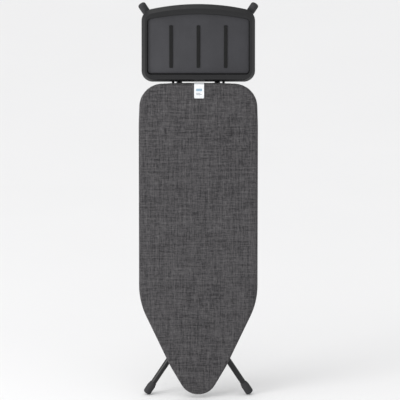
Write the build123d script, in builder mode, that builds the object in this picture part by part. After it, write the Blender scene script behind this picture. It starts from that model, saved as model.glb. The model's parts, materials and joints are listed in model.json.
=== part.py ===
from build123d import *
import os
from math import cos, radians, sin, tan

os.makedirs("parts", exist_ok=True)

# Folded ironing board with a solid steam-unit holder, standing on its inner pair of feet.
# X runs across the board, Z is up, and the cover looks towards -Y.
# A "depth" is a distance behind the cover's face, towards the legs (+Y).

SIDES = {"left": -1, "right": 1}

# Board
NOSE_Z = 12.5
TAIL_Z = 1251.5
COVER_HALF_WIDTH = 230.0
COVER_THICKNESS = 1.0
PAD_THICKNESS = 7.0
MESH_THICKNESS = 0.6
FRAME_RADIUS = 10.0
FRAME_WALL = 1.5
HEM_THICKNESS = 1.4
HEM_WIDTH = 18.0
LABEL_THICKNESS = 0.4
LABEL_WIDTH = 38.0
LABEL_CENTRE_X = 3.0
LABEL_BOTTOM_Z = 1196.0

# Legs
TUBE_RADIUS = 11.0
TUBE_WALL = 1.5
TUBE_DEPTH = 55.0
TUBE_BEND_RADIUS = 60.0
SPLAY = 33.0
INNER_X = 48.0
OUTER_X = 73.0
INNER_BEND_Z = 240.0
OUTER_BEND_Z = 1330.0
OUTER_FOOT_TOP_Z = 1562.0
FOOT_RADIUS = 15.5
FOOT_CORNER = 9.0
FOOT_LENGTH = 50.0
FOOT_TAPER = 14.0
FOOT_LIP = 1.5
TUBE_END_BEYOND_PIVOT = 14.0

# Pivots: hinge at the tail, crossing in the middle, slide at the nose end
HINGE_Z = 1181.0
CROSSING_Z = 781.0
SLIDE_Z = 381.0
AXLE_DEPTH = 35.0
AXLE_RADIUS = 5.0
RUNNING_GAP = 0.3
BORE_CLEARANCE = 0.1
LUG_RADIUS = 8.0
LUG_THICKNESS = 6.0
LUG_LENGTH = 50.0

# Cross braces and guide rails
BRACE_HEIGHT = 25.0
BRACE_BACK = 25.0
BRACE_WALL = 1.5
NOSE_BRACE_Z = 350.0
MIDDLE_BRACE_Z = 900.0
RAIL_INNER_X = 96.0
RAIL_WIDTH = 18.0
RAIL_DEPTH = 20.0
RAIL_WALL = 2.0
RAIL_SLOT = 11.0
SHOE_GAP = 0.5
SHOE_LENGTH = 36.0
RIVET_RADIUS = 2.0
RIVET_HEAD_RADIUS = 4.0
RIVET_HEAD = 1.5

# Height latch
LATCH_PIN_DEPTH = 32.0
LATCH_PIN_RADIUS = 3.0
LATCH_HALF_DEPTH = 6.0
LATCH_LIFT = 2.5
LATCH_CHEEK_X = 15.0
LATCH_CHEEK = 3.0
LATCH_END = 355.0
NOTCH_RADIUS = 5.5
LOCK_ANGLES = (50.0, 45.5, 41.0, 37.0)

# Steam-unit holder
HOLDER_BOTTOM_Z = 1255.0
HOLDER_TOP_Z = 1562.5
HOLDER_HALF_WIDTH = 218.0
HOLDER_SHOULDER_DROP = 29.0
HOLDER_TOP_CORNER = 48.0
HOLDER_BOTTOM_CORNER = 44.0
HOLDER_FRONT = 9.0
HOLDER_BACK = 28.0
HOLDER_SLOPE_RUN = 16.0
HOLDER_SLOPE_DROP = 13.0
HOLDER_SKIN = 2.5
POCKET_HALF_WIDTH = 197.0
POCKET_BOTTOM_Z = 1287.5
POCKET_TOP_Z = 1528.0
POCKET_SHOULDER_DROP = 22.0
POCKET_CORNER = 14.0
POCKET_DEPTH = 19.0
PLATE_FACE = 17.0
PLATE_MARGIN = 3.0
STRIP_WIDTH = 13.0
STRIP_BOTTOM_Z = 1312.0
STRIP_TOP_Z = 1481.0
STRIP_SPACING = 105.0
STRIP_THICKNESS = 3.0
WIRE_X = 97.0
WIRE_RADIUS = 5.0
WIRE_DEPTH = 36.5
WIRE_BOTTOM_Z = 1160.0
WIRE_TOP_Z = 1535.0
WIRE_BEND = 25.0
CLIP_INNER_X = 90.0
CLIP_WIDTH = 24.0
CLIP_BACK = 43.0
CLIP_HEIGHT = 22.0
CLIP_SCREW_X = 108.0
CLIP_HEIGHTS_Z = (1300.0, 1480.0)

# The deepest and the foremost faces are equally far from Y = 0.
MIDDLE_DEPTH = (TUBE_DEPTH + FOOT_RADIUS - LABEL_THICKNESS) / 2

PAD_BACK = COVER_THICKNESS + PAD_THICKNESS
MESH_BACK = PAD_BACK + MESH_THICKNESS
FRAME_DEPTH = MESH_BACK + FRAME_RADIUS
FRAME_BACK = MESH_BACK + 2 * FRAME_RADIUS
FRAME_INSET = COVER_THICKNESS + FRAME_RADIUS + 0.2
HEM_BACK = FRAME_BACK + HEM_THICKNESS + 0.2


def y_at(depth):
    """Y of a depth behind the cover's face."""
    return depth - MIDDLE_DEPTH


def depth_plane(depth):
    """Plane parallel to the board; its normal points to the front."""
    return Plane.XZ.offset(MIDDLE_DEPTH - depth)


def slide_height(fold):
    """Height of the slide axle when the inner legs have turned by fold degrees."""
    reach = HINGE_Z - CROSSING_Z
    offset_depth = TUBE_DEPTH - AXLE_DEPTH
    return HINGE_Z - 2 * reach * cos(radians(fold)) + 2 * offset_depth * sin(radians(fold))


def finish_piece(piece, name):
    """Label a piece and write it."""
    piece.part.label = name
    export_step(piece.part, f"parts/{name}.step")


def board_face(depth, inset=0.0):
    """Face of the board's outline, nose down."""
    with BuildSketch(depth_plane(depth)) as outline:
        with BuildLine():
            half = FilletPolyline(
                (0, TAIL_Z),
                (100, TAIL_Z),
                (224, TAIL_Z - 7),
                (COVER_HALF_WIDTH, 1090),
                (229, 383),
                (109, 125),
                (43, NOSE_Z),
                (0, NOSE_Z),
                radius=[1200, 92, 900, 300, 400, 72],
            )
            mirror(half, about=Plane.YZ)
        make_face()
        if inset:
            offset(amount=-inset)
    return outline.sketch


def bowed_face(depth, half_width, bottom_z, top_z, shoulder_drop, bottom_corner, top_corner, inset):
    """Face with straight sides and bottom, a bowed top and rounded corners."""
    shoulder_z = top_z - shoulder_drop
    with BuildSketch(depth_plane(depth)) as outline:
        with BuildLine():
            Polyline(
                (-half_width, shoulder_z),
                (-half_width, bottom_z),
                (half_width, bottom_z),
                (half_width, shoulder_z),
            )
            ThreePointArc((-half_width, shoulder_z), (0, top_z), (half_width, shoulder_z))
        make_face()
        fillet(outline.vertices().group_by(Axis.Y)[0], bottom_corner)
        fillet(outline.vertices().group_by(Axis.Y)[-1], top_corner)
        if inset:
            offset(amount=-inset)
    return outline.sketch


def holder_face(depth, inset=0.0):
    """Outline of the holder."""
    return bowed_face(
        depth,
        HOLDER_HALF_WIDTH,
        HOLDER_BOTTOM_Z,
        HOLDER_TOP_Z,
        HOLDER_SHOULDER_DROP,
        HOLDER_BOTTOM_CORNER,
        HOLDER_TOP_CORNER,
        inset,
    )


def pocket_face(depth, inset=0.0):
    """Outline of the pocket that the heat plate lies in."""
    return bowed_face(
        depth,
        POCKET_HALF_WIDTH,
        POCKET_BOTTOM_Z,
        POCKET_TOP_Z,
        POCKET_SHOULDER_DROP,
        POCKET_CORNER,
        POCKET_CORNER,
        inset,
    )


def slab(face_at, front, back, inset=0.0, mode=Mode.ADD):
    """Prism of face_at(depth, inset) between two depths."""
    extrude(face_at(back, inset), amount=back - front, mode=mode)


def rod_across(x_from, x_to, depth, z, radius, mode=Mode.ADD):
    """Round bar along X."""
    with BuildSketch(Plane.YZ.offset(x_from)) as section:
        with Locations((y_at(depth), z)):
            Circle(radius)
    extrude(section.sketch, amount=x_to - x_from, mode=mode)


def rod_deep(x, z, front, back, radius, mode=Mode.ADD):
    """Round bar along Y."""
    with BuildSketch(depth_plane(back)) as section:
        with Locations((x, z)):
            Circle(radius)
    extrude(section.sketch, amount=back - front, mode=mode)


def block(x_from, x_to, front, back, z_from, z_to, mode=Mode.ADD):
    """Rectangular block between two x, two depths and two heights."""
    with BuildSketch(depth_plane(back)) as section:
        with Locations(((x_from + x_to) / 2, (z_from + z_to) / 2)):
            Rectangle(abs(x_to - x_from), abs(z_to - z_from))
    extrude(section.sketch, amount=back - front, mode=mode)


def sweep_round(path, radius, mode=Mode.ADD):
    """Round section swept along a path."""
    with BuildSketch(Plane(origin=path @ 0, z_dir=path % 0)) as section:
        Circle(radius)
    sweep(section.sketch, path=path, mode=mode)


# ---------------------------------------------------------------- board

with BuildPart() as cover:
    slab(board_face, 0, HEM_BACK)
    slab(board_face, COVER_THICKNESS, HEM_BACK - HEM_THICKNESS, COVER_THICKNESS, Mode.SUBTRACT)
    slab(board_face, HEM_BACK - HEM_THICKNESS, HEM_BACK, HEM_WIDTH, Mode.SUBTRACT)
finish_piece(cover, "cover")

with BuildPart() as cover_label:
    label_half = LABEL_WIDTH / 2
    block(
        LABEL_CENTRE_X - label_half,
        LABEL_CENTRE_X + label_half,
        -LABEL_THICKNESS,
        0,
        LABEL_BOTTOM_Z,
        TAIL_Z - 1,
    )
finish_piece(cover_label, "cover_label")

with BuildPart() as felt_pad:
    slab(board_face, COVER_THICKNESS, PAD_BACK, COVER_THICKNESS)
finish_piece(felt_pad, "felt_pad")

with BuildPart() as mesh_top:
    slab(board_face, PAD_BACK, MESH_BACK, COVER_THICKNESS + 2)
finish_piece(mesh_top, "mesh_top")

# The frame's tube is bent in two halves, which meet at the nose and at the tail.
frame_rods = []
for name, side in SIDES.items():
    frame_outline = board_face(FRAME_DEPTH, FRAME_INSET)
    half_edges = frame_outline.edges().filter_by(lambda edge: side * edge.center().X > 0)
    frame_path = Wire(half_edges, sequenced=True)
    with BuildPart() as frame_rod:
        sweep_round(frame_path, FRAME_RADIUS)
    frame_rods.append(frame_rod.part)
    with BuildPart() as frame_tube:
        sweep_round(frame_path, FRAME_RADIUS)
        sweep_round(frame_path, FRAME_RADIUS - FRAME_WALL, Mode.SUBTRACT)
    finish_piece(frame_tube, f"frame_tube_{name}")

# Height of each brace and half its length; its ends are coped to the frame's tube.
BRACES = {
    "brace_nose": (NOSE_BRACE_Z, 190.5),
    "brace_middle": (MIDDLE_BRACE_Z, 213.0),
    "brace_tail": (HINGE_Z, 207.0),
}
RAIL_RIVET_X = RAIL_INNER_X + RAIL_WIDTH / 2
RAIL_RIVETS = ((RAIL_RIVET_X, NOSE_BRACE_Z - 4), (RAIL_RIVET_X, MIDDLE_BRACE_Z))
HINGE_RIVET = (78.0, HINGE_Z)
LATCH_RIVET = (30.0, MIDDLE_BRACE_Z)
FRAME_RIVETS = (*RAIL_RIVETS, HINGE_RIVET, LATCH_RIVET)
BRACE_HOLES = (*FRAME_RIVETS, (CLIP_SCREW_X, HINGE_Z))
HOLE_DEPTH = 4.0

for name, (brace_z, half_length) in BRACES.items():
    with BuildPart() as brace:
        middle_depth = (MESH_BACK + BRACE_BACK) / 2
        with BuildSketch(Plane.YZ.offset(-half_length)):
            with Locations((y_at(middle_depth), brace_z)):
                Rectangle(BRACE_BACK - MESH_BACK, BRACE_HEIGHT)
                Rectangle(
                    BRACE_BACK - MESH_BACK - 2 * BRACE_WALL,
                    BRACE_HEIGHT - 2 * BRACE_WALL,
                    mode=Mode.SUBTRACT,
                )
        extrude(amount=2 * half_length)
        for rod_part in frame_rods:
            add(rod_part, mode=Mode.SUBTRACT)
        for side in SIDES.values():
            for hole_x, hole_z in BRACE_HOLES:
                if abs(hole_z - brace_z) < BRACE_HEIGHT / 2:
                    hole_end = BRACE_BACK - HOLE_DEPTH
                    rod_deep(side * hole_x, hole_z, hole_end, BRACE_BACK, RIVET_RADIUS, Mode.SUBTRACT)
    finish_piece(brace, name)

# Guide rails: C sections, open towards the middle through a slot for the slide axle.
rail_lip = (RAIL_DEPTH - RAIL_SLOT) / 2
rail_back = BRACE_BACK + RAIL_DEPTH
rail_ends = (NOSE_BRACE_Z - BRACE_HEIGHT / 2, MIDDLE_BRACE_Z + BRACE_HEIGHT / 2)
for name, side in SIDES.items():
    inner = side * RAIL_INNER_X
    outer = side * (RAIL_INNER_X + RAIL_WIDTH)
    wall = side * RAIL_WALL
    with BuildPart() as guide_rail:
        block(inner, outer, BRACE_BACK, rail_back, *rail_ends)
        block(
            inner + wall,
            outer - wall,
            BRACE_BACK + RAIL_WALL,
            rail_back - RAIL_WALL,
            *rail_ends,
            Mode.SUBTRACT,
        )
        block(inner, inner + wall, BRACE_BACK + rail_lip, rail_back - rail_lip, *rail_ends, Mode.SUBTRACT)
        for rivet_x, rivet_z in RAIL_RIVETS:
            rod_deep(side * rivet_x, rivet_z, BRACE_BACK, BRACE_BACK + RAIL_WALL, RIVET_RADIUS, Mode.SUBTRACT)
    finish_piece(guide_rail, f"guide_rail_{name}")

FLANGE = 2.0
HINGE_EAR_X = 65.0
HINGE_EAR = 4.0
HINGE_EAR_RADIUS = 7.5
HINGE_FLANGE_END = 86.0
LATCH_EAR_X = 19.0
LATCH_EAR = 3.0
LATCH_EAR_RADIUS = 6.0
LATCH_FLANGE_END = 37.0


def ear_bracket(side, ear_x, ear, flange_end, pivot_depth, pivot_z, ear_radius, bore, rivet_x):
    """Riveted bracket: an ear with a rounded end round a pivot, and a flange on the brace."""
    ear_outer = ear_x + ear
    with BuildSketch(Plane.YZ.offset(min(side * ear_x, side * ear_outer))) as profile:
        with Locations((y_at(pivot_depth), pivot_z)):
            Circle(ear_radius)
        with Locations((y_at((BRACE_BACK + pivot_depth) / 2), pivot_z)):
            Rectangle(pivot_depth - BRACE_BACK, 2 * ear_radius)
        with Locations((y_at(pivot_depth), pivot_z)):
            Circle(bore, mode=Mode.SUBTRACT)
    extrude(profile.sketch, amount=ear)
    heights = (pivot_z - ear_radius, pivot_z + ear_radius)
    block(side * ear_outer, side * flange_end, BRACE_BACK, BRACE_BACK + FLANGE, *heights)
    rod_deep(side * rivet_x, pivot_z, BRACE_BACK, BRACE_BACK + FLANGE, RIVET_RADIUS, Mode.SUBTRACT)


for name, side in SIDES.items():
    with BuildPart() as hinge_bracket:
        ear_bracket(
            side,
            HINGE_EAR_X,
            HINGE_EAR,
            HINGE_FLANGE_END,
            AXLE_DEPTH,
            HINGE_Z,
            HINGE_EAR_RADIUS,
            AXLE_RADIUS,
            HINGE_RIVET[0],
        )
    finish_piece(hinge_bracket, f"hinge_bracket_{name}")
    with BuildPart() as latch_bracket:
        ear_bracket(
            side,
            LATCH_EAR_X,
            LATCH_EAR,
            LATCH_FLANGE_END,
            LATCH_PIN_DEPTH,
            MIDDLE_BRACE_Z,
            LATCH_EAR_RADIUS,
            LATCH_PIN_RADIUS,
            LATCH_RIVET[0],
        )
    finish_piece(latch_bracket, f"latch_bracket_{name}")

HINGE_AXLE_END = HINGE_EAR_X + HINGE_EAR
with BuildPart() as hinge_axle:
    rod_across(-HINGE_AXLE_END, HINGE_AXLE_END, AXLE_DEPTH, HINGE_Z, AXLE_RADIUS)
finish_piece(hinge_axle, "hinge_axle")

CAP_RADIUS = 7.0
CAP_LENGTH = 4.0
CAP_CHAMFER = 1.5
with BuildPart() as hinge_axle_caps:
    rod_across(HINGE_AXLE_END, HINGE_AXLE_END + CAP_LENGTH, AXLE_DEPTH, HINGE_Z, CAP_RADIUS)
    chamfer(hinge_axle_caps.faces().sort_by(Axis.X)[-1].edges(), length=CAP_CHAMFER)
    mirror(about=Plane.YZ)
finish_piece(hinge_axle_caps, "hinge_axle_caps")

with BuildPart() as frame_rivets:
    for side in SIDES.values():
        for rivet_x, rivet_z in FRAME_RIVETS:
            seat = BRACE_BACK + FLANGE
            rod_deep(side * rivet_x, rivet_z, BRACE_BACK - HOLE_DEPTH, seat, RIVET_RADIUS)
            rod_deep(side * rivet_x, rivet_z, seat, seat + RIVET_HEAD, RIVET_HEAD_RADIUS)
finish_piece(frame_rivets, "frame_rivets")

# ---------------------------------------------------------------- steam-unit holder

POCKET_FLOOR_BACK = POCKET_DEPTH + HOLDER_SKIN
RIB_WIDTH = 22.0
RIB_ENDS = (1278.0, 1545.0)

with BuildPart() as holder_tray:
    slab(holder_face, HOLDER_FRONT, HOLDER_BACK)
    front_edges = holder_tray.faces().sort_by(Axis.Y)[0].edges()
    chamfer(front_edges, length=HOLDER_SLOPE_RUN, length2=HOLDER_SLOPE_DROP)
    slab(holder_face, HOLDER_FRONT + HOLDER_SLOPE_DROP + 5, HOLDER_BACK, HOLDER_SKIN, Mode.SUBTRACT)
    slab(holder_face, HOLDER_FRONT + HOLDER_SKIN, HOLDER_BACK, HOLDER_SLOPE_RUN + 2, Mode.SUBTRACT)
    slab(pocket_face, HOLDER_FRONT + HOLDER_SKIN / 2, POCKET_FLOOR_BACK, -HOLDER_SKIN)
    slab(pocket_face, 0, POCKET_DEPTH, mode=Mode.SUBTRACT)
    for side in SIDES.values():
        rib_inner = side * CLIP_INNER_X
        rib_outer = side * (CLIP_INNER_X + RIB_WIDTH)
        block(rib_inner, rib_outer, POCKET_FLOOR_BACK - 1, HOLDER_BACK, *RIB_ENDS)
        for clip_z in CLIP_HEIGHTS_Z:
            hole_x = side * CLIP_SCREW_X
            rod_deep(hole_x, clip_z, HOLDER_BACK - HOLE_DEPTH, HOLDER_BACK, RIVET_RADIUS, Mode.SUBTRACT)
finish_piece(holder_tray, "holder_tray")

with BuildPart() as holder_plate:
    slab(pocket_face, PLATE_FACE, POCKET_DEPTH, PLATE_MARGIN)
finish_piece(holder_plate, "holder_plate")

STRIPS = {"rest_strip_left": -STRIP_SPACING, "rest_strip_middle": 0.0, "rest_strip_right": STRIP_SPACING}
for name, strip_x in STRIPS.items():
    with BuildPart() as rest_strip:
        half = STRIP_WIDTH / 2
        strip_front = PLATE_FACE - STRIP_THICKNESS
        block(strip_x - half, strip_x + half, strip_front, PLATE_FACE, STRIP_BOTTOM_Z, STRIP_TOP_Z)
        fillet(rest_strip.edges().filter_by(Axis.Y), 4)
        fillet(rest_strip.faces().sort_by(Axis.Y)[0].edges(), 1)
    finish_piece(rest_strip, name)

with BuildLine() as wire_line:
    wire_y = y_at(WIRE_DEPTH)
    FilletPolyline(
        (-WIRE_X, wire_y, WIRE_BOTTOM_Z),
        (-WIRE_X, wire_y, WIRE_TOP_Z),
        (WIRE_X, wire_y, WIRE_TOP_Z),
        (WIRE_X, wire_y, WIRE_BOTTOM_Z),
        radius=WIRE_BEND,
    )
with BuildPart() as holder_wire:
    sweep_round(wire_line.wires()[0], WIRE_RADIUS)
finish_piece(holder_wire, "holder_wire")


def wire_clip(side, clip_z, front):
    """Block that holds the wire against the surface at depth front."""
    inner = side * CLIP_INNER_X
    outer = side * (CLIP_INNER_X + CLIP_WIDTH)
    block(inner, outer, front, CLIP_BACK, clip_z - CLIP_HEIGHT / 2, clip_z + CLIP_HEIGHT / 2)
    add(holder_wire.part, mode=Mode.SUBTRACT)
    rod_deep(side * CLIP_SCREW_X, clip_z, front, CLIP_BACK, RIVET_RADIUS, Mode.SUBTRACT)


with BuildPart() as holder_clips:
    for side in SIDES.values():
        for clip_z in CLIP_HEIGHTS_Z:
            wire_clip(side, clip_z, HOLDER_BACK)
finish_piece(holder_clips, "holder_clips")

with BuildPart() as frame_clips:
    for side in SIDES.values():
        wire_clip(side, HINGE_Z, BRACE_BACK)
finish_piece(frame_clips, "frame_clips")

SCREW_HEAD = 2.5
with BuildPart() as clip_screws:
    for side in SIDES.values():
        for screw_z, seat in ((HINGE_Z, BRACE_BACK), *((z, HOLDER_BACK) for z in CLIP_HEIGHTS_Z)):
            rod_deep(side * CLIP_SCREW_X, screw_z, seat - HOLE_DEPTH, CLIP_BACK, RIVET_RADIUS)
            rod_deep(side * CLIP_SCREW_X, screw_z, CLIP_BACK, CLIP_BACK + SCREW_HEAD, RIVET_HEAD_RADIUS)
finish_piece(clip_screws, "clip_screws")

# ---------------------------------------------------------------- height latch

# The latch is drawn engaged, in a frame at its pin, and the frame leans by the lift, so
# that it stands clear of the slide axle: u is +Y and v is up before it leans.
latch_frame = Plane(
    origin=(0, y_at(LATCH_PIN_DEPTH), MIDDLE_BRACE_Z),
    x_dir=(0, cos(radians(LATCH_LIFT)), -sin(radians(LATCH_LIFT))),
    z_dir=(1, 0, 0),
)
TONGUE_END = 480.0
TONGUE_HALF_WIDTH = 12.0
TONGUE_THICKNESS = 4.0
TONGUE_LAP = 5.0
TONGUE_BACK = 8.0
WEB = 2.0
WEB_TOP = 22.0
GRIP_START = 400.0
GRIP_END = 490.0
GRIP_FRONT = -1.0
GRIP_BACK = 12.0
GRIP_HALF_WIDTH = 20.0


def latch_prism(profile, half_width, mode=Mode.ADD):
    """Profile in the latch's frame, extruded to both sides of the middle."""
    extrude(profile, amount=half_width, both=True, mode=mode)


with BuildPart() as latch_plate:
    with BuildSketch(latch_frame) as cheek:
        Circle(LATCH_HALF_DEPTH)
        with Locations((0, -LATCH_END / 2)):
            Rectangle(2 * LATCH_HALF_DEPTH, LATCH_END)
        for angle in LOCK_ANGLES:
            notch_v = slide_height(angle) - MIDDLE_BRACE_Z
            axle_u = AXLE_DEPTH - LATCH_PIN_DEPTH
            with Locations((axle_u, notch_v)):
                Circle(NOTCH_RADIUS, mode=Mode.SUBTRACT)
            with Locations(((axle_u + 2 * LATCH_HALF_DEPTH) / 2, notch_v)):
                Rectangle(2 * LATCH_HALF_DEPTH - axle_u, 2 * NOTCH_RADIUS, mode=Mode.SUBTRACT)
        Circle(LATCH_PIN_RADIUS + BORE_CLEARANCE, mode=Mode.SUBTRACT)
    latch_prism(cheek.sketch, LATCH_CHEEK_X + LATCH_CHEEK)
    with BuildSketch(latch_frame) as hollow:
        with Locations((0, -LATCH_END / 2)):
            Rectangle(6 * LATCH_HALF_DEPTH, 2 * LATCH_END)
    latch_prism(hollow.sketch, LATCH_CHEEK_X, Mode.SUBTRACT)
    with BuildSketch(latch_frame) as web:
        with Locations((-LATCH_HALF_DEPTH + WEB / 2, -(LATCH_END + WEB_TOP) / 2)):
            Rectangle(WEB, LATCH_END - WEB_TOP)
    latch_prism(web.sketch, LATCH_CHEEK_X)
    with BuildSketch(latch_frame) as tongue:
        with BuildLine():
            Polyline(
                (-LATCH_HALF_DEPTH, -LATCH_END + TONGUE_LAP),
                (-LATCH_HALF_DEPTH + TONGUE_THICKNESS, -LATCH_END + TONGUE_LAP),
                (-LATCH_HALF_DEPTH + TONGUE_THICKNESS, -LATCH_END),
                (TONGUE_BACK, -GRIP_START),
                (TONGUE_BACK, -TONGUE_END),
                (TONGUE_BACK - TONGUE_THICKNESS, -TONGUE_END),
                (TONGUE_BACK - TONGUE_THICKNESS, -GRIP_START),
                (-LATCH_HALF_DEPTH, -LATCH_END),
                close=True,
            )
        make_face()
    latch_prism(tongue.sketch, TONGUE_HALF_WIDTH)
finish_piece(latch_plate, "latch_plate")

with BuildPart() as latch_grip:
    with BuildSketch(latch_frame) as grip:
        with Locations(((GRIP_FRONT + GRIP_BACK) / 2, -(GRIP_START + GRIP_END) / 2)):
            RectangleRounded(GRIP_BACK - GRIP_FRONT, GRIP_END - GRIP_START, 4)
    latch_prism(grip.sketch, GRIP_HALF_WIDTH)
    fillet(latch_grip.edges().filter_by(lambda edge: abs(edge.center().X) > GRIP_HALF_WIDTH - 0.1), 3)
    add(latch_plate.part, mode=Mode.SUBTRACT)
finish_piece(latch_grip, "latch_grip")

LATCH_PIN_END = LATCH_EAR_X + LATCH_EAR
LATCH_PIN_HEAD_RADIUS = 4.5
with BuildPart() as latch_pin:
    rod_across(-LATCH_PIN_END, LATCH_PIN_END, LATCH_PIN_DEPTH, MIDDLE_BRACE_Z, LATCH_PIN_RADIUS)
    for side in SIDES.values():
        head_start = min(side * LATCH_PIN_END, side * (LATCH_PIN_END + RIVET_HEAD))
        head_end = head_start + RIVET_HEAD
        rod_across(head_start, head_end, LATCH_PIN_DEPTH, MIDDLE_BRACE_Z, LATCH_PIN_HEAD_RADIUS)
finish_piece(latch_pin, "latch_pin")

SPRING_HALF_LENGTH = 10.0
SPRING_OUTER = 6.5
SPRING_INNER = 4.5
with BuildPart() as latch_spring:
    rod_across(-SPRING_HALF_LENGTH, SPRING_HALF_LENGTH, LATCH_PIN_DEPTH, MIDDLE_BRACE_Z, SPRING_OUTER)
    rod_across(
        -SPRING_HALF_LENGTH, SPRING_HALF_LENGTH, LATCH_PIN_DEPTH, MIDDLE_BRACE_Z, SPRING_INNER, Mode.SUBTRACT
    )
finish_piece(latch_spring, "latch_spring")

# ---------------------------------------------------------------- legs


def leg_line(side, straight_x, end_z, bend_z, foot_z):
    """Centre line of a leg: straight from its pivot end to the bend, then splayed to the foot."""
    leg_y = y_at(TUBE_DEPTH)
    foot_x = straight_x + abs(foot_z - bend_z) * tan(radians(SPLAY))
    with BuildLine() as line:
        FilletPolyline(
            (side * straight_x, leg_y, end_z),
            (side * straight_x, leg_y, bend_z),
            (side * foot_x, leg_y, foot_z),
            radius=TUBE_BEND_RADIUS,
        )
    return line.wires()[0]


def hinge_lug(side, straight_x, pivot_z, tube_side):
    """Flat lug that carries the pivot in front of the tube; tube_side is the way to the tube."""
    start = side * straight_x - LUG_THICKNESS / 2
    with BuildSketch(Plane.YZ.offset(start)) as profile:
        with Locations((y_at(AXLE_DEPTH), pivot_z)):
            Circle(LUG_RADIUS)
        with BuildLine():
            Polyline(
                (y_at(AXLE_DEPTH), pivot_z - tube_side * LUG_RADIUS),
                (y_at(TUBE_DEPTH), pivot_z - tube_side * LUG_RADIUS),
                (y_at(TUBE_DEPTH), pivot_z + tube_side * LUG_LENGTH),
                (y_at(TUBE_DEPTH - TUBE_RADIUS), pivot_z + tube_side * LUG_LENGTH),
                (y_at(AXLE_DEPTH), pivot_z + tube_side * LUG_RADIUS),
                close=True,
            )
        make_face()
        with Locations((y_at(AXLE_DEPTH), pivot_z)):
            Circle(AXLE_RADIUS + BORE_CLEARANCE, mode=Mode.SUBTRACT)
    extrude(profile.sketch, amount=LUG_THICKNESS)
    low, high = sorted((pivot_z - 2 * LUG_LENGTH, pivot_z + 2 * LUG_LENGTH))
    with BuildSketch(Plane.XY.offset(low)) as tube_section:
        with Locations((side * straight_x, y_at(TUBE_DEPTH))):
            Circle(TUBE_RADIUS)
    extrude(tube_section.sketch, amount=high - low, mode=Mode.SUBTRACT)


# How far a cap reaches beyond the end of its leg's centre line, measured along Z.
FOOT_REACH = FOOT_CORNER + (FOOT_RADIUS - FOOT_CORNER) * (sin(radians(SPLAY)) + cos(radians(SPLAY)))


def foot_cap(line):
    """Rubber cap with a rounded end and a tapered mouth, turned round the end of a leg."""
    up_the_leg = -(line % 1)
    cap_plane = Plane(origin=line @ 1, x_dir=up_the_leg, z_dir=(0, -1, 0))
    mouth = FOOT_LENGTH - FOOT_RADIUS
    corner_shift = FOOT_CORNER * (1 - sin(radians(45)))
    with BuildSketch(cap_plane) as profile:
        with BuildLine():
            Line((-FOOT_RADIUS, 0), (-FOOT_RADIUS, FOOT_RADIUS - FOOT_CORNER))
            ThreePointArc(
                (-FOOT_RADIUS, FOOT_RADIUS - FOOT_CORNER),
                (-FOOT_RADIUS + corner_shift, FOOT_RADIUS - corner_shift),
                (-FOOT_RADIUS + FOOT_CORNER, FOOT_RADIUS),
            )
            Polyline(
                (-FOOT_RADIUS + FOOT_CORNER, FOOT_RADIUS),
                (mouth - FOOT_TAPER, FOOT_RADIUS),
                (mouth, TUBE_RADIUS + FOOT_LIP),
                (mouth, TUBE_RADIUS),
                (0, TUBE_RADIUS),
                (0, 0),
                (-FOOT_RADIUS, 0),
            )
        make_face()
    revolve(profile.sketch, axis=Axis(line @ 1, up_the_leg))


def leg_tube(line):
    """Hollow tube along the leg's centre line."""
    sweep_round(line, TUBE_RADIUS)
    sweep_round(line, TUBE_RADIUS - TUBE_WALL, Mode.SUBTRACT)


LEG_PAIRS = {
    "inner": {
        "x": INNER_X,
        "end": HINGE_Z + TUBE_END_BEYOND_PIVOT,
        "bend": INNER_BEND_Z,
        "foot": FOOT_REACH,
        "pivot": HINGE_Z,
        "towards_tube": -1,
        "crossing_gap": 0.0,
    },
    "outer": {
        "x": OUTER_X,
        "end": SLIDE_Z - TUBE_END_BEYOND_PIVOT,
        "bend": OUTER_BEND_Z,
        "foot": OUTER_FOOT_TOP_Z - FOOT_REACH,
        "pivot": SLIDE_Z,
        "towards_tube": 1,
        "crossing_gap": BORE_CLEARANCE,
    },
}
PLUG_HEAD = 2.0
PLUG_LENGTH = 18.0
leg_rods = []

for pair, leg in LEG_PAIRS.items():
    for name, side in SIDES.items():
        line = leg_line(side, leg["x"], leg["end"], leg["bend"], leg["foot"])
        with BuildPart() as leg_rod:
            sweep_round(line, TUBE_RADIUS)
        leg_rods.append(leg_rod.part)
        with BuildPart() as leg_part:
            leg_tube(line)
            bore_from = side * leg["x"] - 2 * TUBE_RADIUS
            rod_across(
                bore_from,
                bore_from + 4 * TUBE_RADIUS,
                TUBE_DEPTH,
                CROSSING_Z,
                AXLE_RADIUS + leg["crossing_gap"],
                Mode.SUBTRACT,
            )
        finish_piece(leg_part, f"{pair}_leg_{name}")
        with BuildPart() as foot:
            foot_cap(line)
        finish_piece(foot, f"{pair}_foot_{name}")
    with BuildPart() as lugs:
        for side in SIDES.values():
            hinge_lug(side, leg["x"], leg["pivot"], leg["towards_tube"])
    finish_piece(lugs, f"{pair}_lugs")
    with BuildPart() as plugs:
        outward = -leg["towards_tube"]
        for side in SIDES.values():
            with BuildSketch(
                Plane(origin=(side * leg["x"], y_at(TUBE_DEPTH), leg["end"]), z_dir=(0, 0, outward))
            ) as plug_head:
                Circle(TUBE_RADIUS)
            extrude(plug_head.sketch, amount=PLUG_HEAD)
            with BuildSketch(
                Plane(origin=(side * leg["x"], y_at(TUBE_DEPTH), leg["end"]), z_dir=(0, 0, -outward))
            ) as plug_stem:
                Circle(TUBE_RADIUS - TUBE_WALL)
            extrude(plug_stem.sketch, amount=PLUG_LENGTH)
    finish_piece(plugs, f"{pair}_tube_plugs")

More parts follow.
